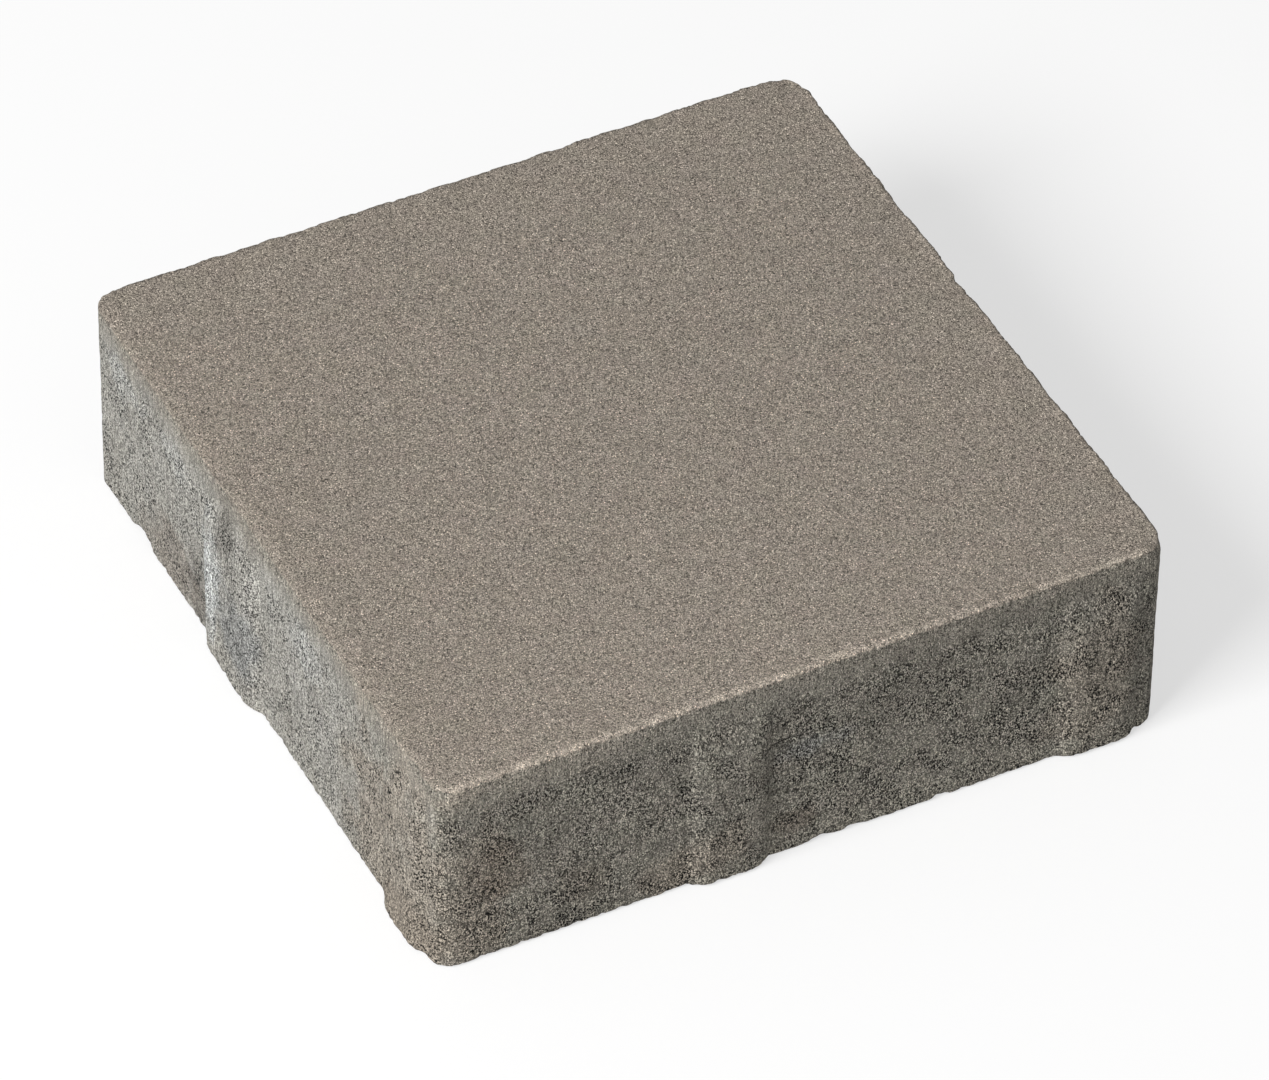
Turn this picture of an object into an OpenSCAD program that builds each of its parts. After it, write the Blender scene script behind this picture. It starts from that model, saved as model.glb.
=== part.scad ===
// Square concrete paving stone with upright spacer ribs on its four sides.
// It is pressed in one piece and lies flat: the origin is the middle of its underside, +Z is up,
// and all lengths are in millimetres.

/* [Stone] */
// Laying grid: one stone and one joint
laying_grid = 200; // [150:1:300]
// Joint that the ribs keep open between two stones, which is also how far a rib stands out
joint = 2.5; // [1.5:0.25:4]
// Thickness from the underside to the wearing face
thickness = 60; // [50:1:120]
// Radius of the four upright corners
corner_r = 5.75; // [4:0.25:10]
// Radius of the rounded arris around the wearing face
arris_r = 1.5; // [0.5:0.25:3.5]

/* [Spacer ribs] */
// Width of a common rib where it leaves the side
rib_w = 22; // [16:1:30]
// Width of the broad rib on the left and right sides
broad_rib_w = 31; // [20:1:45]
// Sideways run of a rib's rounded flank, from the foot to the flat crest
flank_run = 6; // [4.5:0.25:7.5]
// Distance of the inner common rib from the middle of its side
inner_rib_offset = 20.5; // [18:0.5:28]
// Plain stretch between the foot of the outer rib and the rounded corner
outer_rib_gap = 1; // [0.5:0.5:8]
// Depth below the wearing face at which a rib's sloping head starts
head_drop = 7; // [4:0.5:15]
// Height over which the head slopes out to the full depth of the rib
head_h = 9; // [3:0.5:20]

/* [Hidden] */
$fn = 64;

// Side of the stone without its ribs, and half of it
side = laying_grid - joint;
half = side / 2;
// Straight stretch of a side between its rounded corners
straight = side - 2 * corner_r;
// Radius of the flank arc that meets the crest smoothly and the side at the rib's foot
flank_r = (flank_run * flank_run + joint * joint) / (2 * joint);
// How deep a rib is rooted in the stone, so that it is one with it also beside a rounded corner
root = corner_r;
// Places of the ribs along a side, seen from outside, from the side's middle to the rib's middle
inner_rib_at = -inner_rib_offset;
outer_rib_at = half - corner_r - outer_rib_gap - rib_w / 2;
// The broad rib's left foot is in line with that of a common inner rib
broad_rib_at = inner_rib_at - rib_w / 2 + broad_rib_w / 2;

// Section of the stone's rim: plain underside edge, upright side, rounded arris on top.
module rim_section() {
    difference() {
        square([corner_r, thickness]);
        translate([corner_r - arris_r, thickness - arris_r])
            difference() {
                square(2 * arris_r);
                circle(arris_r);
            }
    }
}

// The square block: a plain core, with the rim run along each side and turned round each corner.
module block() {
    translate([-straight / 2, -straight / 2, 0])
        cube([straight, straight, thickness]);
    for (turn = [0, 90, 180, 270])
        rotate(turn) {
            translate([straight / 2, straight / 2, 0])
                rotate([90, 0, 0])
                    linear_extrude(straight)
                        rim_section();
            translate([straight / 2, straight / 2, 0])
                rotate_extrude(angle = 90)
                    rim_section();
        }
}

// Plan of a rib: a flat crest between two rounded flanks. The stone's side is the line y = 0.
module rib_plan(width) {
    crest_w = width - 2 * flank_run;
    intersection() {
        translate([-width / 2, -root])
            square([width, root + joint]);
        union() {
            translate([-crest_w / 2, -root])
                square([crest_w, root + joint]);
            for (end = [-1, 1])
                translate([end * crest_w / 2, joint - flank_r])
                    circle(flank_r);
        }
    }
}

// Upright section through a rib: full depth from the underside up to the foot of its sloping head.
module rib_section() {
    head_top = thickness - head_drop;
    slope = head_h / joint;
    polygon([
        [-root, 0],
        [joint, 0],
        [joint, head_top - head_h],
        [-root, head_top + slope * root]
    ]);
}

// One rib that stands out along +Y from the plane y = 0.
module rib(width) {
    margin = 1;
    intersection() {
        linear_extrude(thickness - arris_r)
            rib_plan(width);
        translate([-width / 2 - margin, 0, 0])
            rotate([90, 0, 90])
                linear_extrude(width + 2 * margin)
                    rib_section();
    }
}

// The two ribs of one side, on the side that faces -Y.
module side_ribs(inner_at, inner_w) {
    translate([inner_at, -half, 0])
        rotate(180)
            rib(inner_w);
    translate([outer_rib_at, -half, 0])
        rotate(180)
            rib(rib_w);
}

// The whole stone. Half a turn about Z brings it onto itself.
module paving_stone() {
    color("#8d857b")
        union() {
            block();
            for (turn = [0, 180])
                rotate(turn) {
                    side_ribs(inner_rib_at, rib_w);
                    rotate(-90)
                        side_ribs(broad_rib_at, broad_rib_w);
                }
        }
}

paving_stone();
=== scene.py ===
"""Concrete paving stone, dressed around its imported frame.

The stone is one pressed piece. Its mesh follows the solid's sizes and adds what pressing, stripping and
handling leave on concrete: crumbled arrises, pitted sides, a rough underside edge and chipped places.
Lengths are in millimetres unless a name says otherwise, and the mesh is turned to metres at the end.
"""

import logging
import math
from collections.abc import Callable
from dataclasses import dataclass, field
from enum import Enum
from functools import partial

import bpy
import numpy as np
from bpy.types import NodeSocket, NodeTree
from mathutils import Matrix, Vector, noise


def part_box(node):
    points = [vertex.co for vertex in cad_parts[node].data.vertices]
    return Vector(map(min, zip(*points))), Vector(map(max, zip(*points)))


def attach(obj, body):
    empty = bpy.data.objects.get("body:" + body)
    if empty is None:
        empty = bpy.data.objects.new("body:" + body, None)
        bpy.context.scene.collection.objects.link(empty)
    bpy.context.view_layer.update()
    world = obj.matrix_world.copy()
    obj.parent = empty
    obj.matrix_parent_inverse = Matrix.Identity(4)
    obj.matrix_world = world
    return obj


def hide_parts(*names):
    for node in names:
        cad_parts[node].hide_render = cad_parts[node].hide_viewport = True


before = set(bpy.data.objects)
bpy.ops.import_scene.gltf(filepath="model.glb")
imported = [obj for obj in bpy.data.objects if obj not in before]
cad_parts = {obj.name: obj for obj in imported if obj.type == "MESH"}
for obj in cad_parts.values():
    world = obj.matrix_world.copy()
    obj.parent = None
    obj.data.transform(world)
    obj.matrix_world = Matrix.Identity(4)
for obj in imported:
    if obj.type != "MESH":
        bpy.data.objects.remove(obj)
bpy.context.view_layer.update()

log = logging.getLogger("paving_stone")

METRES = 0.001

AddNode = Callable[..., NodeSocket]


def linear(hex_colour: str) -> tuple[float, float, float, float]:
    """Turn an sRGB hex colour into linear RGBA.

    Args:
        hex_colour: The colour as "#rrggbb".

    Returns:
        Linear red, green and blue with an alpha of 1.
    """
    channels = [int(hex_colour[i:i + 2], 16) / 255 for i in (1, 3, 5)]
    parts = [c / 12.92 if c <= 0.04045 else ((c + 0.055) / 1.055) ** 2.4 for c in channels]
    return (*parts, 1.0)


def per_metre(size: float) -> float:
    """Texture scale at which one cell of a pattern measures size millimetres."""
    return 1 / (size * METRES)


def add_node(
    tree: NodeTree,
    kind: str,
    inputs: dict[str | int, object] | None = None,
    out: str | int = 0,
    **settings: object,
) -> NodeSocket:
    """Add one node, with its settings, its input values and its links.

    Args:
        tree: The node tree that gets the node.
        kind: Blender's name of the node type, without ShaderNode in front.
        inputs: Input name or number to a value, or to the socket that is linked to it.
        out: Name or number of the output that is wanted.
        **settings: Properties of the node.

    Returns:
        That output of the new node, or its first input if it has no output.
    """
    node = tree.nodes.new("ShaderNode" + kind)
    for name, value in settings.items():
        setattr(node, name, value)
    for key, value in (inputs or {}).items():
        if isinstance(value, NodeSocket):
            tree.links.new(value, node.inputs[key])
        else:
            node.inputs[key].default_value = value
    return node.outputs[out] if node.outputs else node.inputs[0]


def smoothstep(value: np.ndarray, low: float, high: float) -> np.ndarray:
    """Ease from 0 at low to 1 at high."""
    t = np.clip((value - low) / (high - low), 0, 1)
    return t * t * (3 - 2 * t)


def smooth_min(a: np.ndarray, b: np.ndarray, blend: float) -> np.ndarray:
    """Take the smaller of two values, rounded where they are within blend of each other."""
    h = np.clip(0.5 + 0.5 * (b - a) / blend, 0, 1)
    return b + (a - b) * h - blend * h * (1 - h)


def fractal(points: np.ndarray, size: float, octaves: int, seed: float) -> np.ndarray:
    """Sample fractal noise.

    Args:
        points: Places in millimetres, one row each.
        size: Width of the largest lumps.
        octaves: How many times finer lumps are added.
        seed: Moves the pattern.

    Returns:
        One value per point, about -1 to 1.
    """
    shift = Vector((seed, 1.7 * seed, -2.3 * seed))
    return np.array([noise.fractal(Vector(p) / size + shift, 1.0, 2.0, octaves) for p in points])


def hollows(points: np.ndarray, spacing: float, share: float, seed: float) -> np.ndarray:
    """Sample round hollows scattered through space.

    Args:
        points: Places in millimetres, one row each.
        spacing: Typical distance between the hollows' middles.
        share: Share of the possible hollows that are there.
        seed: Moves the pattern.

    Returns:
        Depth from 0 outside to 1 in the middle of a hollow.
    """
    shift = Vector((-seed, 2.1 * seed, 1.3 * seed))
    found = [noise.voronoi(Vector(p) / spacing + shift) for p in points]
    distance = np.array([f[0][0] for f in found])
    middle = np.array([f[1][0] for f in found])
    # A number from 0 to 1 that belongs to the hollow, whatever the point
    draw = np.modf(np.abs(np.sin(middle @ np.array([12.99, 78.23, 37.72])) * 4375.85))[0]
    radius = 0.16 + 0.22 * np.modf(draw * 17.0)[0]
    return np.where(draw < share, np.clip(1 - (distance / radius) ** 2, 0, 1), 0)


class Side(Enum):
    """The stone's sides, each as its turn about Z from the side that faces -Y."""

    FRONT = 0
    RIGHT = 90
    BACK = 180
    LEFT = 270

    @property
    def turn(self) -> np.ndarray:
        """Work out the turn from the front side to this one.

        Returns:
            Matrix for row vectors.
        """
        a = math.radians(self.value)
        c, s = round(math.cos(a)), round(math.sin(a))
        return np.array([[c, s, 0], [-s, c, 0], [0, 0, 1]], float)

    @property
    def has_broad_rib(self) -> bool:
        """Whether the side's inner rib is the broad one."""
        return self in (Side.LEFT, Side.RIGHT)


@dataclass(frozen=True)
class Damage:
    """One place where concrete is broken or torn away.

    Attributes:
        side: The side that it is on.
        along: Place along the side from its middle, seen from outside, to the right.
        height: Height of its middle above the underside.
        reach: Half of its length along the side.
        rise: Half of its height.
        depth: How far it goes into the stone.
        slope: How much it climbs for each millimetre along the side.
    """

    side: Side
    along: float
    height: float
    reach: float
    rise: float
    depth: float
    slope: float = 0.0

    def cut(self, points: np.ndarray, half: float) -> np.ndarray:
        """Depth of the damage at each point.

        Args:
            points: Places in millimetres, one row each.
            half: Distance of the side from the stone's middle.

        Returns:
            Depth in millimetres, 0 outside the damage.
        """
        local = points @ self.side.turn.T
        run = local[:, 0] - self.along
        climb = local[:, 2] - self.height - self.slope * run
        # Only the stone's own skin on that side is cut
        near = smoothstep(-local[:, 1], half - 8, half - 4)
        r = np.sqrt((run / self.reach) ** 2 + (climb / self.rise) ** 2)
        return self.depth * near * (1 - smoothstep(r, 0.35, 1.0))


@dataclass(frozen=True)
class Relief:
    """How far the stone's surface departs from its plain form.

    Attributes:
        side_wave: Slow bulges of the sides.
        side_lumps: Lumps of coarse sand and fine gravel in the sides.
        side_grain: The finest relief of the sides that the mesh carries.
        side_pits: Depth of the larger voids in the sides.
        arris_wave: Waviness of the arris round the wearing face.
        arris_lumps: Bumps of a few millimetres along that arris.
        arris_crumble: Loss along that arris.
        arris_bites: Depth of the deeper bites out of that arris.
        foot_wave: Waviness of the underside edge.
        foot_crumble: Loss along the underside edge.
        top_wave: Slow unevenness of the wearing face.
        top_grain: Finest relief of the wearing face that the mesh carries.
        fine_size: Width of the finest lumps, in sides and wearing face.
        lump_size: Width of the lumps in sides and arris.
        wave_size: Width of the slow bulges.
        edge_size: Width of the crumbs that the arris and the underside edge lose.
        swell_size: Width of the waves along the edges and in the wearing face.
        pit_spacing: Distance between possible voids.
        pit_share: Share of them that are there.
        bite_spacing: Distance between possible bites.
        bite_share: Share of them that are there.
    """

    side_wave: float = 0.14
    side_lumps: float = 0.08
    side_grain: float = 0.08
    side_pits: float = 0.28
    arris_wave: float = 0.2
    arris_lumps: float = 0.4
    arris_crumble: float = 0.5
    arris_bites: float = 0.8
    foot_wave: float = 0.22
    foot_crumble: float = 0.45
    top_wave: float = 0.06
    top_grain: float = 0.03
    fine_size: float = 1.9
    lump_size: float = 5.5
    wave_size: float = 28.0
    edge_size: float = 1.8
    swell_size: float = 11.0
    pit_spacing: float = 4.2
    pit_share: float = 0.4
    bite_spacing: float = 9.0
    bite_share: float = 0.3

    def height(self, points: np.ndarray, normals: np.ndarray, half: float, top: float) -> np.ndarray:
        """Work out the departure from the plain form along the surface's normal.

        Args:
            points: Places in millimetres, one row each.
            normals: Outward unit normals, one row each.
            half: Half of the stone's side.
            top: Height of the wearing face.

        Returns:
            Departure in millimetres, outwards positive.
        """
        drop = top - points[:, 2]
        inside = half - np.abs(points[:, :2]).max(axis=1)
        upright = 1 - normals[:, 2] ** 2
        # Under the facing the sides are rougher, and each edge has a few millimetres of its own
        core = upright * (0.3 + 0.7 * smoothstep(drop, 4, 9))
        arris = smoothstep(inside, 4.5, 1.0) * smoothstep(drop, 4.0, 1.2)
        foot = smoothstep(points[:, 2], 5, 0.6) * smoothstep(inside, 6, 1)
        face = np.clip(normals[:, 2], 0, 1)
        # The arris is rougher along the back and the right-hand side than along the front and the left
        rougher = 0.3 + 0.7 * smoothstep(points[:, 0] + points[:, 1], -20, 40)

        fine = fractal(points, self.fine_size, 2, 3.1)
        lumps = fractal(points, self.lump_size, 3, 11.7)
        wave = fractal(points, self.wave_size, 2, 23.4)
        edge = fractal(points, self.edge_size, 2, 41.9)
        pits = hollows(points, self.pit_spacing, self.pit_share, 7.7)
        bites = hollows(points, self.bite_spacing, self.bite_share, 71.3)
        swell = fractal(points, self.swell_size, 2, 57.3)

        height = core * (self.side_wave * wave + self.side_lumps * lumps + self.side_grain * fine)
        height -= core * self.side_pits * pits
        height += arris * (self.arris_wave * swell + self.arris_lumps * rougher * lumps)
        height -= arris * self.arris_crumble * np.clip(edge, 0, None)
        height -= arris * self.arris_bites * bites
        height += foot * self.foot_wave * swell
        height -= foot * self.foot_crumble * np.clip(edge + 0.25, 0, None)
        height += face * (self.top_wave * swell + self.top_grain * fine)
        return height


class Tone(Enum):
    """Colours that single places of the stone lean to.

    BLOOM is thick lime, CLAY brown fines, DAMP moisture left in the concrete, COOL bluish cement paste,
    BEIGE sandy paste and CRACK the shade in a narrow gap.
    """

    BLOOM = "#e2e4e2"
    CLAY = "#7d6a5a"
    DAMP = "#5d574f"
    COOL = "#96999a"
    BEIGE = "#b0a597"
    CRACK = "#2c2926"


@dataclass(frozen=True)
class Patch:
    """One place with a tone of its own, with a soft uneven border.

    Attributes:
        tone: The colour that it leans to.
        at: Its middle.
        reach: Half of its length along each axis.
        share: How far it leans to that colour in its middle.
        lean: How far its length climbs from left to right, seen from the front, in degrees.
    """

    tone: Tone
    at: tuple[float, float, float]
    reach: tuple[float, float, float]
    share: float
    lean: float = 0.0


@dataclass(frozen=True)
class Zones:
    """Sockets that tell where on the stone a point lies.

    Attributes:
        place: The point, in metres.
        drop: Its depth below the wearing face, in metres.
        blotch: Slow unevenness that breaks up borders, about 0.3 to 0.7.
        core: 0 in the fine facing, 1 in the coarser concrete under it.
        upright: 0 on the wearing face, 1 on the sides.
        limed: 1 on the coarser concrete of the two sides that carry lime bloom.
        torn: About 1 where the mould tore the coarser concrete, less where it smeared paste over it.
        arris_tone_and_shade: 1 on the lighter arris along the front, below 0 where painted shade darkens
            the arris at the left and right edges and along the back.
    """

    place: NodeSocket
    drop: NodeSocket
    blotch: NodeSocket
    core: NodeSocket
    upright: NodeSocket
    limed: NodeSocket
    torn: NodeSocket
    arris_tone_and_shade: NodeSocket


@dataclass(frozen=True)
class Layer:
    """What one kind of texture gives the surface.

    Attributes:
        light: Factor on the colour, about 1.
        height: Height, in millimetres.
    """

    light: NodeSocket
    height: NodeSocket


@dataclass(frozen=True)
class Sand:
    """Sand grains, each a little lighter or darker than the next, and the holes of those torn out.

    Attributes:
        size: Width of a grain. Fine sand is 0.1 to 0.5 mm, and one size stands for all.
        slim: Width of a grain over its height, because the mould wall draws grains out upwards.
        clump_size: Width of a clump of grains, in grains.
        contrast: Spread of the grains' brightness on the wearing face.
        side_contrast: What the sides add to that spread.
        core_contrast: What the coarser concrete adds to it.
        painted_joint_shading: Brightness in the middle of a grain, and in the joint round it, painted as
            shading that darkens the joints.
        clump_light: Brightness low and high on a clump.
        veil: Share of the spread that lime bloom hides.
        darkest: Brightness of the darkest grain.
        quartz_draws: Random draws at which a grain starts to be quartz, and is.
        quartz: Extra brightness of quartz.
        quartz_veil: Share of that which cement paste hides in the coarser concrete.
        hole_draws: Random draws at which a grain in a torn place starts to be missing, and is.
        hole_shade: Brightness that painted shade takes away in a hole.
        hole_depth: Depth of a hole.
        dome: Height of a grain.
        core_dome: Share by which the grains of the coarser concrete stand out more.
        clump: Height of a clump.
    """

    size: float = 0.29
    slim: float = 0.72
    clump_size: float = 2.2
    contrast: float = 0.96
    side_contrast: float = 0.16
    core_contrast: float = 0.1
    painted_joint_shading: tuple[float, float] = (1.38, 0.66)
    clump_light: tuple[float, float] = (0.97, 1.03)
    veil: float = 0.62
    darkest: float = 0.06
    quartz_draws: tuple[float, float] = (0.95, 0.97)
    quartz: float = 1.15
    quartz_veil: float = 0.8
    hole_draws: tuple[float, float] = (0.61, 0.72)
    hole_shade: float = 0.95
    hole_depth: float = 0.2
    dome: float = 0.14
    core_dome: float = 0.4
    clump: float = 0.14

    def layer(self, add: AddNode, zones: Zones) -> Layer:
        """Add the grains.

        Args:
            add: Adds a node to the material.
            zones: Where on the stone a point lies.

        Returns:
            Their light and height.
        """
        drawn = add("Mapping", {"Vector": zones.place, "Scale": (1.0, 1.0, self.slim)})
        cells = add("TexVoronoi", {"Vector": drawn, "Scale": per_metre(self.size)}).node
        distance = cells.outputs["Distance"]
        draw = add("SeparateColor", {0: cells.outputs["Color"]}).node.outputs
        start, end = self.hole_draws
        hole = add("MapRange", {"Value": draw[1], "From Min": start, "From Max": end})
        hole = add("Math", {0: hole, 1: zones.torn}, operation="MULTIPLY")
        # Painted shade darkens each hole, which the height also sinks
        painted_hole_shade = add("Math", {0: hole, 1: -self.hole_shade, 2: 1.0}, operation="MULTIPLY_ADD")
        # Painted shading of each grain: lighter in its middle, darker in the joint round it where shade
        # falls
        middle, joint = self.painted_joint_shading
        painted_joint_shading = add(
            "MapRange",
            {"Value": distance, "From Min": 0.25, "From Max": 0.75, "To Min": middle, "To Max": joint},
        )
        clump_scale = per_metre(self.clump_size * self.size)
        clump = add(
            "TexNoise", {"Vector": zones.place, "Scale": clump_scale, "Detail": 2.0, "Roughness": 0.7}
        )
        low, high = self.clump_light
        clump_light = add(
            "MapRange", {"Value": clump, "From Min": 0.25, "From Max": 0.75, "To Min": low, "To Max": high}
        )
        light = self.brightness(add, zones, draw)
        for more in (painted_joint_shading, clump_light, painted_hole_shade):
            light = add("Math", {0: light, 1: more}, operation="MULTIPLY")

        dome = add("MapRange", {"Value": distance, "From Max": 0.7, "To Min": self.dome, "To Max": 0.0})
        stand_out = add("Math", {0: zones.core, 1: self.core_dome, 2: 1.0}, operation="MULTIPLY_ADD")
        dome = add("Math", {0: dome, 1: stand_out}, operation="MULTIPLY")
        height = add("Math", {0: clump, 1: self.clump, 2: dome}, operation="MULTIPLY_ADD")
        height = add("Math", {0: hole, 1: -self.hole_depth, 2: height}, operation="MULTIPLY_ADD")
        return Layer(light, height)

    def brightness(self, add: AddNode, zones: Zones, draw: bpy.types.bpy_prop_collection) -> NodeSocket:
        """Give each grain its own brightness.

        Args:
            add: Adds a node to the material.
            zones: Where on the stone a point lies.
            draw: Three random sockets, the same all over one grain.

        Returns:
            The brightness, about 1.
        """
        both = add("Math", {0: draw[0], 1: draw[1]})
        shade = add("MapRange", {"Value": both, "From Max": 2.0, "To Min": -1.0, "To Max": 1.0})
        spread = add(
            "Math", {0: zones.upright, 1: self.side_contrast, 2: self.contrast}, operation="MULTIPLY_ADD"
        )
        spread = add("Math", {0: zones.core, 1: self.core_contrast, 2: spread}, operation="MULTIPLY_ADD")
        evened = add("Math", {0: zones.limed, 1: -self.veil, 2: 1.0}, operation="MULTIPLY_ADD")
        spread = add("Math", {0: spread, 1: evened}, operation="MULTIPLY")
        shade = add("Math", {0: shade, 1: spread}, operation="MULTIPLY")
        start, end = self.quartz_draws
        quartz = add("MapRange", {"Value": draw[2], "From Min": start, "From Max": end})
        quartz = add("Math", {0: quartz, 1: self.quartz}, operation="MULTIPLY")
        shown = add("Math", {0: zones.core, 1: -self.quartz_veil, 2: 1.0}, operation="MULTIPLY_ADD")
        quartz = add("Math", {0: quartz, 1: shown}, operation="MULTIPLY")
        grain = add("Math", {0: shade, 1: 1.0})
        grain = add("Math", {0: grain, 1: quartz})
        return add("Math", {0: grain, 1: self.darkest}, operation="MAXIMUM")


@dataclass(frozen=True)
class Pits:
    """Pits torn between clumps of grains in the sides.

    Attributes:
        size: Width of a pit.
        slim: Width of a pit over its height.
        shade: Brightness that painted shade takes away in a pit.
        depth: Depth of a pit.
    """

    size: float = 0.65
    slim: float = 0.72
    shade: float = 0.22
    depth: float = 0.3

    def layer(self, add: AddNode, zones: Zones) -> Layer:
        """Add the pits.

        Args:
            add: Adds a node to the material.
            zones: Where on the stone a point lies.

        Returns:
            Their light and height.
        """
        drawn = add("Mapping", {"Vector": zones.place, "Scale": (1.0, 1.0, self.slim)})
        lumps = add(
            "TexNoise", {"Vector": drawn, "Scale": per_metre(self.size), "Detail": 2.0, "Roughness": 0.62}
        )
        gap = add("MapRange", {"Value": lumps, "From Min": 0.47, "From Max": 0.36})
        gap = add("Math", {0: gap, 1: zones.torn}, operation="MULTIPLY")
        # Painted shade darkens the pits, which the height also sinks
        light = add("Math", {0: gap, 1: -self.shade, 2: 1.0}, operation="MULTIPLY_ADD")
        height = add("Math", {0: gap, 1: -self.depth}, operation="MULTIPLY")
        return Layer(light, height)


@dataclass(frozen=True)
class DragMarks:
    """Marks of the mould wall on the sides: narrow along the side, long up and down.

    Attributes:
        width: Width of a mark.
        slim: Width of a mark over its height.
        shade: How much lighter or darker a mark is.
        depth: Height of a mark at full shade.
        on_paste: Strength of the marks on smeared paste.
        torn_loss: What tearing takes from that strength.
        lime_gain: What lime adds to it.
    """

    width: float = 0.7
    slim: float = 0.1
    shade: float = 0.37
    depth: float = 0.2
    on_paste: float = 1.2
    torn_loss: float = 0.8
    lime_gain: float = 0.5

    def layer(self, add: AddNode, zones: Zones) -> Layer:
        """Add the marks.

        Args:
            add: Adds a node to the material.
            zones: Where on the stone a point lies.

        Returns:
            Their light and height.
        """
        dragged = add("Mapping", {"Vector": zones.place, "Scale": (1.0, 1.0, self.slim)})
        drag = add(
            "TexNoise", {"Vector": dragged, "Scale": per_metre(self.width), "Detail": 2.0, "Roughness": 0.6}
        )
        low, high = -self.shade, self.shade
        streak = add(
            "MapRange", {"Value": drag, "From Min": 0.25, "From Max": 0.75, "To Min": low, "To Max": high}
        )
        streak = add("Math", {0: streak, 1: zones.upright}, operation="MULTIPLY")
        # Tearing breaks the marks up, and lime picks them out
        clear = add("Math", {0: zones.torn, 1: -self.torn_loss, 2: self.on_paste}, operation="MULTIPLY_ADD")
        clear = add("Math", {0: zones.limed, 1: self.lime_gain, 2: clear}, operation="MULTIPLY_ADD")
        streak = add("Math", {0: streak, 1: clear}, operation="MULTIPLY")
        light = add("Math", {0: streak, 1: 1.0})
        height = add("Math", {0: streak, 1: self.depth}, operation="MULTIPLY")
        return Layer(light, height)


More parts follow.
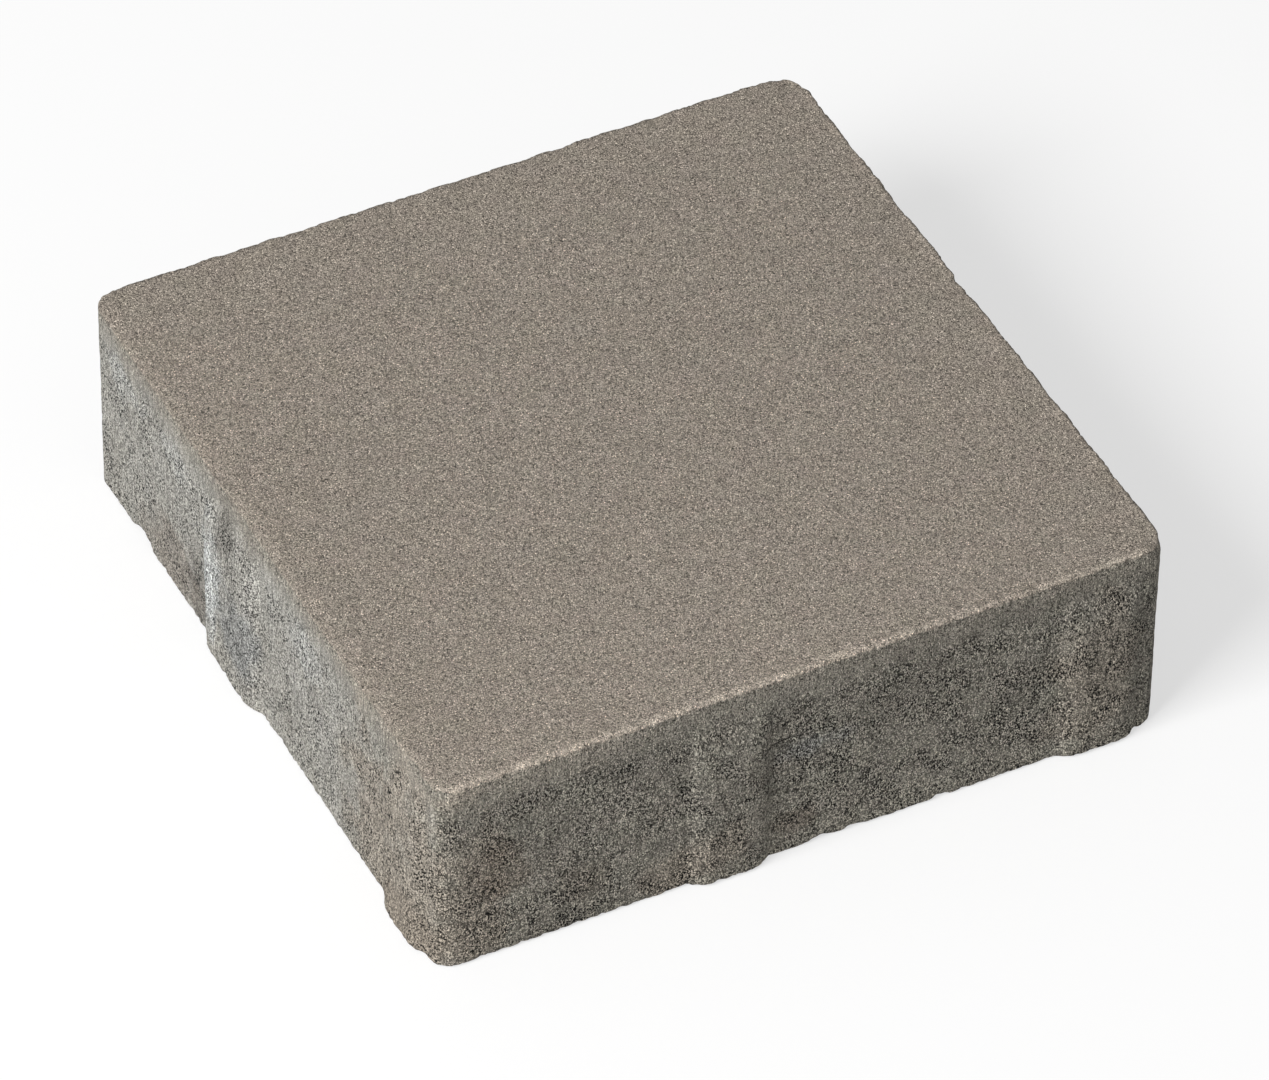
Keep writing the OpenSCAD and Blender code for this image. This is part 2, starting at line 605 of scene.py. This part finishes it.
@dataclass(frozen=True)
class PressedConcrete:
    """Earth-damp concrete pressed in a steel mould and stripped at once.

    The face is fine sand and cement: matt, brown-grey and grainy, each grain a little lighter or darker
    than the next. The sides are dragged along the mould wall: smooth and streaked where cement paste
    smeared, pitted between the grains where it tore, with a pale lime bloom where the stone dried.
    Nothing shines.

    Attributes:
        facing: Fine sandy wearing face.
        flank: The same fine mix where it was dragged along the mould, at the top of the sides.
        core: Coarser concrete of the sides.
        bloom: Lime bloom.
        sand: Its grains.
        pits: Its pits.
        drag_marks: Its drag marks.
        torn_size: Width of the torn patches of the sides.
        ragged_size: Width of the teeth in which the wearing face ends.
        blotch_size: Width of the unevenness that breaks up borders.
        hue_size: Width of the faint blotches of colour.
        hue_spread: How much those blotches differ.
        cover_size: Width of the gaps in the lime bloom.
        bloom_share: Share of the bloom under the facing, and at the foot.
        bloom_front: What is left of it towards the front of the stone.
        bloom_gaps: What is left of it in its gaps.
        arris_tone_and_shade_light: What the arris mask adds to the brightness, and what its painted shade
            takes away.
        painted_bounce_light: What painted light from the floor adds to the brightness of the foot.
        roughness: Roughness of dry cement and sand.
        ior: Refractive index of cement stone.
        gloss: Specular level, low because the grains scatter what a smooth face would reflect.
        patches: Places with a tone of their own.
    """

    facing: str = "#958c81"
    flank: str = "#807b72"
    core: str = "#a19c91"
    bloom: str = "#d0cfca"
    sand: Sand = Sand()
    pits: Pits = Pits()
    drag_marks: DragMarks = DragMarks()
    torn_size: float = 6.0
    ragged_size: float = 1.0
    blotch_size: float = 12.0
    hue_size: float = 7.0
    hue_spread: float = 0.055
    cover_size: float = 9.0
    bloom_share: tuple[float, float] = (0.6, 0.52)
    bloom_front: float = 0.35
    bloom_gaps: float = 0.6
    arris_tone_and_shade_light: float = 0.34
    painted_bounce_light: float = 0.08
    roughness: float = 0.93
    ior: float = 1.5
    gloss: float = 0.25
    patches: tuple[Patch, ...] = ()

    def material(self, half: float, top: float) -> bpy.types.Material:
        """Build the material.

        Args:
            half: Half of the stone's side, in millimetres.
            top: Height of the wearing face, in millimetres.

        Returns:
            The new material.
        """
        made = bpy.data.materials.new("pressed_concrete")
        made.use_nodes = True
        made.node_tree.nodes.clear()
        add = partial(add_node, made.node_tree)
        zones = self.zones(add, half, top)
        texture = self.texture(add, zones)
        ground = self.ground(add, zones)
        colour = add("VectorMath", {0: ground, "Scale": texture.light}, operation="SCALE")
        bump = add("Bump", {"Height": texture.height, "Strength": 1.0, "Distance": METRES})
        surface = add(
            "BsdfPrincipled",
            {
                "Base Color": colour,
                "Normal": bump,
                "Roughness": self.roughness,
                "IOR": self.ior,
                "Specular IOR Level": self.gloss,
            },
        )
        add("OutputMaterial", {"Surface": surface})
        return made

    def zones(self, add: AddNode, half: float, top: float) -> Zones:
        """Work out where on the stone a point lies.

        Args:
            add: Adds a node to the material.
            half: Half of the stone's side, in millimetres.
            top: Height of the wearing face, in millimetres.

        Returns:
            The sockets.
        """
        place = add("TexCoord", out="Object")
        axes = add("SeparateXYZ", {0: place}).node.outputs
        across = add("Math", {0: axes["X"]}, operation="ABSOLUTE")
        drop = add("Math", {0: top * METRES, 1: axes["Z"]}, operation="SUBTRACT")
        blotch = add("TexNoise", {"Vector": place, "Scale": per_metre(self.blotch_size), "Detail": 2.0})

        # The facing reaches 6 to 9 mm down, with an uneven border
        uneven = add("Math", {0: blotch, 1: 7 * METRES, 2: drop}, operation="MULTIPLY_ADD")
        core = add(
            "MapRange",
            {"Value": uneven, "From Min": 5 * METRES, "From Max": 16 * METRES},
            interpolation_type="SMOOTHSTEP",
        )
        # The wearing face ends at the arris in a ragged line of grains
        ragged = add(
            "TexNoise",
            {"Vector": place, "Scale": per_metre(self.ragged_size), "Detail": 2.0, "Roughness": 0.7},
        )
        edge = add("Math", {0: ragged, 1: 2.6 * METRES, 2: drop}, operation="MULTIPLY_ADD")
        upright = add("MapRange", {"Value": edge, "From Min": 2.2 * METRES, "From Max": 2.6 * METRES})
        lime = add(
            "MapRange",
            {"Value": across, "From Min": (half - 1.4) * METRES, "From Max": (half - 0.3) * METRES},
            interpolation_type="SMOOTHSTEP",
        )
        limed = add("Math", {0: lime, 1: core}, operation="MULTIPLY")
        # Torn patches on the sides; between them cement paste was smeared over the grains
        torn = add("TexNoise", {"Vector": place, "Scale": per_metre(self.torn_size), "Detail": 2.0})
        torn = add(
            "MapRange",
            {"Value": torn, "From Min": 0.36, "From Max": 0.62, "To Min": 0.73, "To Max": 1.06},
            interpolation_type="SMOOTHSTEP",
        )
        torn = add("Math", {0: torn, 1: core}, operation="MULTIPLY")
        # The arris is lighter along the front, and on the left and right just inside the edge. Painted
        # shade darkens it at the very edge on the left and right, and along the back
        rim = add(
            "MapRange",
            {"Value": axes["Y"], "From Min": (2.2 - half) * METRES, "From Max": (0.5 - half) * METRES},
            interpolation_type="SMOOTHSTEP",
        )
        for axis, start, end, shade in (
            (across, 4.0, 1.2, 0.36),
            (across, 1.3, 0.4, -0.9),
            (axes["Y"], 1.6, 0.5, -1.0),
        ):
            first, last = (half - start) * METRES, (half - end) * METRES
            band = add("MapRange", {"Value": axis, "From Min": first, "From Max": last, "To Max": shade})
            rim = add("Math", {0: rim, 1: band})
        crest = add("MapRange", {"Value": edge, "From Min": 2.8 * METRES, "From Max": 2.1 * METRES})
        arris_tone_and_shade = add("Math", {0: rim, 1: crest}, operation="MULTIPLY")
        return Zones(place, drop, blotch, core, upright, limed, torn, arris_tone_and_shade)

    def texture(self, add: AddNode, zones: Zones) -> Layer:
        """Put the grains, the pits, the drag marks, the arris tone with its painted shade and the painted
        light at the foot together.

        Args:
            add: Adds a node to the material.
            zones: Where on the stone a point lies.

        Returns:
            The light and the height of them all.
        """
        sand = self.sand.layer(add, zones)
        light, height = sand.light, sand.height
        for layer in (self.pits.layer(add, zones), self.drag_marks.layer(add, zones)):
            light = add("Math", {0: light, 1: layer.light}, operation="MULTIPLY")
            height = add("Math", {0: height, 1: layer.height})
        # Lighter arris along the front, with painted shade on the side edges and along the back
        arris_tone_and_shade_light = add("Math", {0: zones.arris_tone_and_shade, 1: self.arris_tone_and_shade_light, 2: 1.0}, operation="MULTIPLY_ADD")
        # Painted light: the sides grow lighter towards the foot, standing in for light that the white floor
        # throws up
        painted_bounce_light = add(
            "MapRange",
            {
                "Value": zones.drop,
                "From Min": 38 * METRES,
                "From Max": 58 * METRES,
                "To Min": 1.0,
                "To Max": 1.0 + self.painted_bounce_light,
            },
        )
        for more in (arris_tone_and_shade_light, painted_bounce_light):
            light = add("Math", {0: light, 1: more}, operation="MULTIPLY")
        return Layer(light, height)

    def ground(self, add: AddNode, zones: Zones) -> NodeSocket:
        """Colour the concrete under its grain: facing or core, blotches, lime bloom and single patches.

        Args:
            add: Adds a node to the material.
            zones: Where on the stone a point lies.

        Returns:
            The colour.
        """
        facing, flank = linear(self.facing), linear(self.flank)
        colour = add("Mix", {0: zones.upright, 6: facing, 7: flank}, out=2, data_type="RGBA")
        colour = add("Mix", {0: zones.core, 6: colour, 7: linear(self.core)}, out=2, data_type="RGBA")
        # Faint pinkish, greenish and darker blotches of a few millimetres
        hues = add(
            "TexNoise",
            {"Vector": zones.place, "Scale": per_metre(self.hue_size), "Detail": 2.0, "Roughness": 0.65},
            out="Color",
        )
        spread, least = [self.hue_spread] * 3, [1 - self.hue_spread / 2] * 3
        hues = add("VectorMath", {0: hues, 1: spread, 2: least}, operation="MULTIPLY_ADD")
        colour = add("VectorMath", {0: colour, 1: hues}, operation="MULTIPLY")

        # The bloom starts under the facing, thins out downwards and ends towards the front of the stone
        upper, lower = self.bloom_share
        fade = add(
            "MapRange",
            {
                "Value": zones.drop,
                "From Min": 18 * METRES,
                "From Max": 55 * METRES,
                "To Min": upper,
                "To Max": lower,
            },
        )
        depth = add("SeparateXYZ", {0: zones.place}, out="Y")
        ending = add(
            "MapRange",
            {
                "Value": depth,
                "From Min": -80 * METRES,
                "From Max": -30 * METRES,
                "To Min": self.bloom_front,
                "To Max": 1.0,
            },
            interpolation_type="SMOOTHSTEP",
        )
        drawn = add("Mapping", {"Vector": zones.place, "Scale": (1.0, 1.0, 0.5)})
        cover = add(
            "TexNoise",
            {"Vector": drawn, "Scale": per_metre(self.cover_size), "Detail": 2.0, "Roughness": 0.5},
        )
        least = self.bloom_gaps
        cover = add("MapRange", {"Value": cover, "From Min": 0.3, "From Max": 0.7, "To Min": least})
        share = zones.limed
        for part in (fade, ending, cover):
            share = add("Math", {0: share, 1: part}, operation="MULTIPLY")
        colour = add("Mix", {0: share, 6: colour, 7: linear(self.bloom)}, out=2, data_type="RGBA")
        for patch in self.patches:
            share = self.patch_share(add, zones, patch)
            tone = linear(patch.tone.value)
            colour = add("Mix", {0: share, 6: colour, 7: tone}, out=2, data_type="RGBA")
        return colour

    def patch_share(self, add: AddNode, zones: Zones, patch: Patch) -> NodeSocket:
        """Work out how strongly one patch shows.

        Args:
            add: Adds a node to the material.
            zones: Where on the stone a point lies.
            patch: The patch.

        Returns:
            Its share of the colour, 0 outside it.
        """
        offset = add(
            "Mapping",
            {
                "Vector": zones.place,
                "Location": [METRES * v for v in patch.at],
                "Rotation": (0.0, -math.radians(patch.lean), 0.0),
                "Scale": [METRES * v for v in patch.reach],
            },
            vector_type="TEXTURE",
        )
        away = add("VectorMath", {0: offset}, out="Value", operation="LENGTH")
        # Blotches move the border in and out
        ragged = add("Math", {0: zones.blotch, 1: -2.2, 2: away}, operation="MULTIPLY_ADD")
        return add(
            "MapRange",
            {"Value": ragged, "From Min": 0.1, "From Max": -0.6, "To Max": patch.share},
            interpolation_type="SMOOTHSTEP",
        )


@dataclass
class PavingStone:
    """The stone: its sizes, its mesh and its finish.

    Attributes:
        side: Side of the stone without its ribs.
        thickness: From the underside to the wearing face.
        joint: How far a rib stands out.
        corner_r: Radius of the upright corners.
        arris_r: Radius of the arris round the wearing face before it crumbles.
        foot_r: Worn radius of the underside edge.
        rib_w: Width of a common rib at its foot.
        broad_rib_w: Width of the broad rib at its foot.
        flank_run: Sideways run of a rib's rounded flank.
        inner_rib_offset: Distance of the inner common rib from the middle of its side.
        outer_rib_gap: Plain stretch between the outer rib and the rounded corner.
        head_drop: Depth below the wearing face at which a rib's head starts.
        head_h: Height over which the head slopes out.
        rim: Inset at which the rows of the sides end, on the wearing face and on the underside.
        columns: Mesh columns on each side.
        rows: Mesh rows between the underside edge and the arris.
        top_inset: Inset of the wearing face's grid.
        top_step: Mesh columns for each cell of that grid.
        under_inset: Inset of the underside's grid.
        under_step: Mesh columns for each cell of that grid.
        relief: Departures from the plain form.
        damage: Broken places.
        finish: The concrete.
    """

    side: float
    thickness: float
    joint: float = 2.5
    corner_r: float = 5.75
    arris_r: float = 1.0
    foot_r: float = 1.2
    rib_w: float = 22.0
    broad_rib_w: float = 31.0
    flank_run: float = 6.0
    inner_rib_offset: float = 20.5
    outer_rib_gap: float = 1.0
    head_drop: float = 7.0
    head_h: float = 9.0
    rim: float = 5.0
    columns: int = 288
    rows: int = 60
    top_inset: float = 6.6
    top_step: int = 4
    under_inset: float = 7.5
    under_step: int = 8
    relief: Relief = field(default_factory=Relief)
    damage: tuple[Damage, ...] = ()
    finish: PressedConcrete = field(default_factory=PressedConcrete)

    @property
    def half(self) -> float:
        """Half of the stone's side."""
        return self.side / 2

    @property
    def straight_half(self) -> float:
        """Half of the straight stretch of a side."""
        return self.half - self.corner_r

    def ribs(self, side: Side) -> list[tuple[float, float]]:
        """List a side's ribs.

        Args:
            side: The side that the ribs are on.

        Returns:
            Each rib's place along the side and its width.
        """
        left_foot = -self.inner_rib_offset - self.rib_w / 2
        inner_w = self.broad_rib_w if side.has_broad_rib else self.rib_w
        outer_at = self.straight_half - self.outer_rib_gap - self.rib_w / 2
        return [(left_foot + inner_w / 2, inner_w), (outer_at, self.rib_w)]

    def rib_offset(self, side: Side, along: np.ndarray, height: float) -> np.ndarray:
        """Work out how far the ribs stand out at one height of a side.

        Args:
            side: The side.
            along: Places along the side.
            height: Height above the underside.

        Returns:
            Offset outwards at each place.
        """
        soft = 0.9
        arc = (self.flank_run ** 2 + self.joint ** 2) / (2 * self.joint)
        head = self.joint * (self.thickness - self.head_drop - height) / self.head_h
        total = np.zeros_like(along)
        for at, width in self.ribs(side):
            run = np.clip(np.abs(along - at) - (width / 2 - self.flank_run), 0, 0.98 * arc)
            dome = self.joint - arc + np.sqrt(arc ** 2 - run ** 2)
            limited = smooth_min(dome, np.full_like(dome, min(head, 2 * self.joint)), soft)
            total = np.maximum(total, -smooth_min(-limited, np.zeros_like(dome), soft / 2))
        return np.minimum(total, self.joint)

    def profile(self) -> list[tuple[float, float]]:
        """List the mesh rows from under the stone to its wearing face.

        Returns:
            Each row's inset from the side plane and its height.
        """
        foot_steps, arris_steps = 4, 6
        rows = [(inset, 0.0) for inset in (self.rim, 3.4, 2.2)]
        for i in range(foot_steps):
            a = math.pi / 2 * i / foot_steps
            rows.append((self.foot_r * (1 - math.sin(a)), self.foot_r * (1 - math.cos(a))))
        low, high = self.foot_r, self.thickness - self.arris_r
        rows += [(0.0, low + (high - low) * i / self.rows) for i in range(self.rows)]
        for i in range(arris_steps + 1):
            a = math.pi / 2 * i / arris_steps
            rows.append((self.arris_r * (1 - math.cos(a)), high + self.arris_r * math.sin(a)))
        rows += [(inset, self.thickness) for inset in (2.1, 2.8, 3.7, self.rim)]
        return rows

    def row_points(self, side: Side, inset: float, height: float) -> np.ndarray:
        """Place one mesh row of one side, from the middle of a corner to the middle of the next.

        Args:
            side: The side.
            inset: Inset of the row from the side plane.
            height: Height of the row.

        Returns:
            Points, one row each.
        """
        reach = self.straight_half + self.corner_r * math.pi / 4
        along = np.linspace(-reach, reach, self.columns, endpoint=False)
        turn = np.sign(along) * np.clip(np.abs(along) - self.straight_half, 0, None) / self.corner_r
        fade = np.clip(1 - inset / self.rim, 0, 1)
        radius = self.corner_r - inset + fade * self.rib_offset(side, along, height)
        x = np.clip(along, -self.straight_half, self.straight_half) + radius * np.sin(turn)
        y = -self.straight_half - radius * np.cos(turn)
        local = np.stack([x, y, np.full_like(x, height)], axis=1)
        return local @ side.turn

    def cap(
        self, ring: int, inset: float, height: float, step: int, start: int, upward: bool
    ) -> tuple[np.ndarray, list[list[int]]]:
        """Close the shell with a square grid inside its last ring.

        Args:
            ring: Number of the ring's first vertex.
            inset: Inset of the grid from the side planes.
            height: Height of the grid.
            step: Ring columns for each grid cell.
            start: Number of the grid's first vertex.
            upward: Whether the faces look up.

        Returns:
            The grid's points and all faces of the cap.
        """
        n = self.columns // step
        line = np.linspace(-self.half + inset, self.half - inset, n + 1)
        gx, gy = np.meshgrid(line, line)
        points = np.stack([gx.ravel(), gy.ravel(), np.full(gx.size, height)], axis=1)

        def vertex(i: int, j: int) -> int:
            """Number of the grid vertex in column i and row j."""
            return start + j * (n + 1) + i

        faces = [
            [vertex(i, j), vertex(i + 1, j), vertex(i + 1, j + 1), vertex(i, j + 1)]
            for j in range(n)
            for i in range(n)
        ]
        border = [vertex(i, 0) for i in range(n)]
        border += [vertex(n, j) for j in range(n)]
        border += [vertex(n - i, n) for i in range(n)]
        border += [vertex(0, n - j) for j in range(n)]
        around = 4 * self.columns
        for m in range(4 * n):
            outer = [ring + (m * step + k) % around for k in range(step + 1)]
            faces.append(outer + [border[(m + 1) % (4 * n)], border[m]])
        if not upward:
            faces = [face[::-1] for face in faces]
        return points, faces

    def mesh(self) -> bpy.types.Mesh:
        """Build the stone's mesh in metres, with its relief and its damage.

        Returns:
            The new mesh.
        """
        profile = self.profile()
        around = 4 * self.columns
        rings = [
            np.concatenate([self.row_points(side, inset, height) for side in Side])
            for inset, height in profile
        ]
        shell = np.concatenate(rings)
        last = (len(profile) - 1) * around
        faces = [
            [ring + j, ring + (j + 1) % around, ring + around + (j + 1) % around, ring + around + j]
            for ring in range(0, last, around)
            for j in range(around)
        ]
        top, top_faces = self.cap(last, self.top_inset, self.thickness, self.top_step, len(shell), True)
        under_start = len(shell) + len(top)
        under, under_faces = self.cap(0, self.under_inset, 0.0, self.under_step, under_start, False)
        points = np.concatenate([shell, top, under])
        made = bpy.data.meshes.new("concrete_stone")
        made.from_pydata(points.tolist(), [], faces + top_faces + under_faces)
        normals = np.zeros(len(points) * 3, np.float32)
        made.vertex_normals.foreach_get("vector", normals)
        normals = normals.reshape(-1, 3).astype(float)
        height = self.relief.height(points, normals, self.half, self.thickness)
        for place in self.damage:
            height -= place.cut(points, self.half)
        points = points + normals * height[:, None]
        points[:, 2] = np.clip(points[:, 2], 0, None)
        made.vertices.foreach_set("co", (points * METRES).ravel())
        made.polygons.foreach_set("use_smooth", np.ones(len(made.polygons), bool))
        made.update()
        return made

    def build(self) -> bpy.types.Object:
        """Build and dress the stone, and put it in the place of its solid.

        Returns:
            The new object.
        """
        stone = bpy.data.objects.new("concrete_stone", self.mesh())
        bpy.context.scene.collection.objects.link(stone)
        stone.data.materials.append(self.finish.material(self.half, self.thickness))
        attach(stone, "root")
        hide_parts("paving_stone")
        return stone


@dataclass(frozen=True)
class Studio:
    """White floor, one large soft lamp from the left and even light from all round.

    Attributes:
        floor_size: Side of the floor, in metres.
        floor_gap: Gap between the stone and the floor, in metres, so that they share no plane.
        floor_bounce: Colour of the floor for the light that it throws back.
        floor_glow: Share of plain white in the floor as the camera sees it, which keeps the shadow light.
        lamp_towards: Direction from the stone to the lamp.
        lamp_distance: Distance of the lamp, in metres.
        lamp_size: Side of the lamp, in metres.
        lamp_watts: Power of the lamp.
        ambient: Strength of the light from all round.
    """

    floor_size: float = 8.0
    floor_gap: float = 0.0001
    floor_bounce: str = "#e9e9e7"
    floor_glow: float = 0.6
    lamp_towards: tuple[float, float, float] = (-0.733, -0.229, 0.641)
    lamp_distance: float = 3.0
    lamp_size: float = 1.4
    lamp_watts: float = 97.0
    ambient: float = 0.3

    def build(self) -> None:
        """Build the floor, the lamp and the world."""
        self.lay_floor()
        self.hang_lamp()
        self.fill_world()

    def lay_floor(self) -> None:
        """Lay the white floor just under the stone."""
        half = self.floor_size / 2
        plane = bpy.data.meshes.new("floor")
        corners = [(-half, -half, 0), (half, -half, 0), (half, half, 0), (-half, half, 0)]
        plane.from_pydata(corners, [], [(0, 1, 2, 3)])
        floor = bpy.data.objects.new("floor", plane)
        floor.location.z = -self.floor_gap
        bpy.context.scene.collection.objects.link(floor)
        # Rolled white emulsion scatters all light evenly, so the floor shows the shadow and no reflection
        paint = bpy.data.materials.new("matt_white_floor_paint")
        paint.use_nodes = True
        paint.node_tree.nodes.clear()
        add = partial(add_node, paint.node_tree)
        seen = add("LightPath", out="Is Camera Ray")
        bounce = linear(self.floor_bounce)
        colour = add("Mix", {0: seen, 6: bounce, 7: (1, 1, 1, 1)}, out=2, data_type="RGBA")
        matt = add("BsdfDiffuse", {"Color": colour})
        white = add("Emission", {"Color": (1, 1, 1, 1), "Strength": 1.0})
        share = add("Math", {0: seen, 1: self.floor_glow}, operation="MULTIPLY")
        surface = add("MixShader", {0: share, 1: matt, 2: white})
        add("OutputMaterial", {"Surface": surface})
        plane.materials.append(paint)

    def hang_lamp(self) -> None:
        """Hang the large soft lamp."""
        lamp = bpy.data.lights.new("soft_box", "AREA")
        lamp.size = self.lamp_size
        lamp.energy = self.lamp_watts
        towards = Vector(self.lamp_towards).normalized()
        hung = bpy.data.objects.new("soft_box", lamp)
        hung.location = towards * self.lamp_distance
        hung.rotation_euler = towards.to_track_quat("Z", "Y").to_euler()
        bpy.context.scene.collection.objects.link(hung)

    def fill_world(self) -> None:
        """Fill the world with even light, white to the camera."""
        world = bpy.data.worlds.new("studio")
        world.use_nodes = True
        world.node_tree.nodes.clear()
        add = partial(add_node, world.node_tree)
        seen = add("LightPath", out="Is Camera Ray")
        strength = add("MapRange", {"Value": seen, "To Min": self.ambient, "To Max": 1.0})
        sky = add("Background", {"Color": (1, 1, 1, 1), "Strength": strength})
        add("OutputWorld", {"Surface": sky})
        bpy.context.scene.world = world


@dataclass(frozen=True)
class PhotoCamera:
    """The camera at the photograph's viewing angle.

    Attributes:
        azimuth: Degrees round the stone, 0 looks along +Y.
        elevation: Degrees above the horizon.
        roll: Degrees about the viewing direction.
        distance: Distance from the target, in millimetres.
        target: Point in the middle of the picture, in millimetres.
        lens: Focal length, in millimetres on the sensor.
        sensor: Width of the sensor, in millimetres.
    """

    azimuth: float = -27.457
    elevation: float = 43.085
    roll: float = 0.932
    distance: float = 2316.0
    target: tuple[float, float, float] = (-2.46, -11.95, 30.0)
    lens: float = 266.0
    sensor: float = 36.0

    def build(self) -> None:
        """Build the camera and make it the scene's."""
        a, e, r = (math.radians(v) for v in (self.azimuth, self.elevation, self.roll))
        back = Vector((math.sin(a) * math.cos(e), -math.cos(a) * math.cos(e), math.sin(e)))
        right = Vector((0, 0, 1)).cross(back).normalized()
        up = back.cross(right)
        rolled_right = math.cos(r) * right + math.sin(r) * up
        rolled_up = math.cos(r) * up - math.sin(r) * right
        data = bpy.data.cameras.new("camera")
        data.sensor_fit = "HORIZONTAL"
        data.sensor_width = self.sensor
        data.lens = self.lens
        camera = bpy.data.objects.new("camera", data)
        turn = Matrix((rolled_right, rolled_up, back)).transposed().to_4x4()
        eye = (Vector(self.target) + back * self.distance) * METRES
        camera.matrix_world = Matrix.Translation(eye) @ turn
        bpy.context.scene.collection.objects.link(camera)
        bpy.context.scene.camera = camera


# The short crack, the chips along the underside edge, and two worn corners
DAMAGE = (
    Damage(Side.FRONT, along=-8.2, height=38.0, reach=6.0, rise=0.9, depth=0.5, slope=0.15),
    Damage(Side.LEFT, along=-71.0, height=0.0, reach=7.0, rise=4.0, depth=1.3),
    Damage(Side.FRONT, along=5.0, height=0.0, reach=4.0, rise=2.5, depth=0.5),
    Damage(Side.FRONT, along=14.0, height=0.0, reach=3.0, rise=2.5, depth=0.45),
    Damage(Side.FRONT, along=38.0, height=0.0, reach=3.0, rise=2.5, depth=0.45),
    Damage(Side.FRONT, along=98.0, height=60.0, reach=7.0, rise=4.0, depth=0.5),
    Damage(Side.RIGHT, along=97.0, height=60.0, reach=8.0, rise=5.0, depth=0.7),
)

# Those of the left side, then those of the front, and last the crack
PATCHES = (
    Patch(Tone.BLOOM, at=(-100, 27, 28), reach=(6, 7.5, 19), share=0.95),
    Patch(Tone.BLOOM, at=(-99, 80, 46), reach=(5, 10, 6), share=0.3),
    Patch(Tone.BLOOM, at=(-99, 49, 45), reach=(5, 10, 6), share=0.2),
    Patch(Tone.BLOOM, at=(-99, -26, 43), reach=(5, 10, 7), share=0.3),
    Patch(Tone.DAMP, at=(-100, 17, 48), reach=(6, 6, 8.5), share=0.45),
    Patch(Tone.COOL, at=(-100, 11, 20), reach=(6, 11, 13), share=0.55),
    Patch(Tone.DAMP, at=(-99, 37, 12), reach=(6, 7, 13), share=0.45),
    Patch(Tone.CLAY, at=(-99, 52, 10), reach=(6, 17, 11), share=0.35),
    Patch(Tone.CLAY, at=(-99, -85, 7), reach=(6, 11, 10), share=0.45),
    Patch(Tone.BEIGE, at=(-99, -78, 20), reach=(6, 32, 33), share=0.65),
    Patch(Tone.BEIGE, at=(-90, -99, 26), reach=(9, 6, 34), share=0.6),
    Patch(Tone.CLAY, at=(-82, -99, 28), reach=(10, 6, 9), share=0.3),
    Patch(Tone.CLAY, at=(-60, -99, 12), reach=(7, 6, 8), share=0.2),
    Patch(Tone.BEIGE, at=(-31, -100, 8), reach=(12, 6, 9), share=0.6),
    Patch(Tone.CLAY, at=(-2, -99, 10), reach=(8, 6, 5), share=0.3),
    Patch(Tone.COOL, at=(4, -99, 34), reach=(10, 6, 5), share=0.45),
    Patch(Tone.BEIGE, at=(78, -100, 24), reach=(12, 6, 26), share=0.5),
    Patch(Tone.BEIGE, at=(-72, -99, 56), reach=(26, 5, 6), share=0.14),
    Patch(Tone.DAMP, at=(55, -99, 56), reach=(60, 5, 7), share=0.15),
    Patch(Tone.DAMP, at=(26, -99, 41), reach=(32, 6, 13), share=0.12),
    Patch(Tone.CRACK, at=(-8.4, -99, 38.0), reach=(5.4, 4, 0.42), share=0.85, lean=8.5),
)


def main() -> None:
    """Build the camera, the studio and the stone, and report each piece."""
    logging.basicConfig(level=logging.INFO, format="%(name)s: %(message)s")
    bpy.context.scene.view_settings.view_transform = "Standard"
    PhotoCamera().build()
    Studio().build()
    low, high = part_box("paving_stone")
    joint = PavingStone.joint
    side = (high.x - low.x) / METRES - 2 * joint
    thickness = (high.z - low.z) / METRES
    finish = PressedConcrete(patches=PATCHES)
    stone = PavingStone(side=side, thickness=thickness, damage=DAMAGE, finish=finish).build()
    triangles = sum(len(p.vertices) - 2 for p in stone.data.polygons)
    log.info("%s: %d triangles", stone.name, triangles)


if __name__ == "__main__":
    main()
